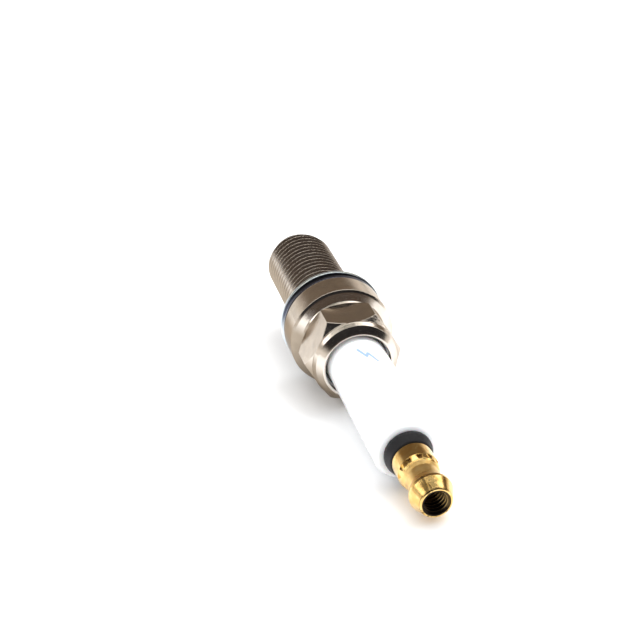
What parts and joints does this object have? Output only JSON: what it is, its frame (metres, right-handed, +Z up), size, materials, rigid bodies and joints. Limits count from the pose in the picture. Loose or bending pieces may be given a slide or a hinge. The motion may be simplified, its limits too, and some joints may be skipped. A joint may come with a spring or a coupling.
{
  "type": "spark plug",
  "caption": "Long-reach resistor spark plug with a threaded shell, folded seat gasket, plain white insulator and a screw-on terminal nut.",
  "frame": {"origin": "on the plug's axis, in the plane of the shell's seat face that the gasket bears on", "axes": "+X along the plug's axis towards the terminal, +Z up, normal to two flats of the hexagon"},
  "size_m": [0.0847, 0.0178, 0.0178],
  "materials": {
    "nickel_plate": "bright nickel plating with a warm cast",
    "zinc_plate": "bright bluish zinc plating on folded sheet",
    "white_ceramic": "glossy white glaze",
    "gold_terminal": "polished gold-coloured plating",
    "plain_steel": "drawn steel",
    "black_rubber": "smooth matte black rubber",
    "conductive_glass": "fused glass filled with metal powder",
    "carbon_ceramic": "fused carbon and glass mixture",
    "nickel_alloy": "satin nickel alloy",
    "copper": "copper",
    "precious_metal": "bright precious metal",
    "talc": "pressed talc powder"
  },
  "bodies": {
    "plug": {"metal_shell": "nickel_plate", "insulator": "white_ceramic", "terminal_stud": "plain_steel", "upper_glass_seal": "conductive_glass", "resistor": "carbon_ceramic", "lower_glass_seal": "conductive_glass", "center_electrode": "nickel_alloy", "center_core": "copper", "center_tip": "precious_metal", "ground_electrode": "nickel_alloy", "ground_core": "copper", "ground_pad": "precious_metal", "talc_packing": "talc", "lower_packing_ring": "plain_steel", "upper_packing_ring": "plain_steel", "inner_seal_washer": "plain_steel"},
    "gasket": {"gasket": "zinc_plate"},
    "terminal_ring": {"terminal_seal_ring": "black_rubber"},
    "terminal": {"terminal_nut": "gold_terminal"}
  },
  "joints": [
    {"name": "gasket_spin", "type": "hinge", "parent": "plug", "child": "gasket", "pos_m": [-0.00125, 0, 0], "axis": [1, 0, 0], "continuous": true},
    {"name": "nut_lift", "type": "slide", "parent": "plug", "child": "terminal_ring", "axis": [1, 0, 0], "range_m": [0, 0.0056]},
    {"name": "nut_turn", "type": "hinge", "parent": "terminal_ring", "child": "terminal", "pos_m": [0.048, 0, 0], "axis": [1, 0, 0], "range_deg": [0, 2880]}
  ],
  "couplings": [
    {"joint": "nut_turn", "follows": "nut_lift", "rad_per_m": 8976}
  ]
}
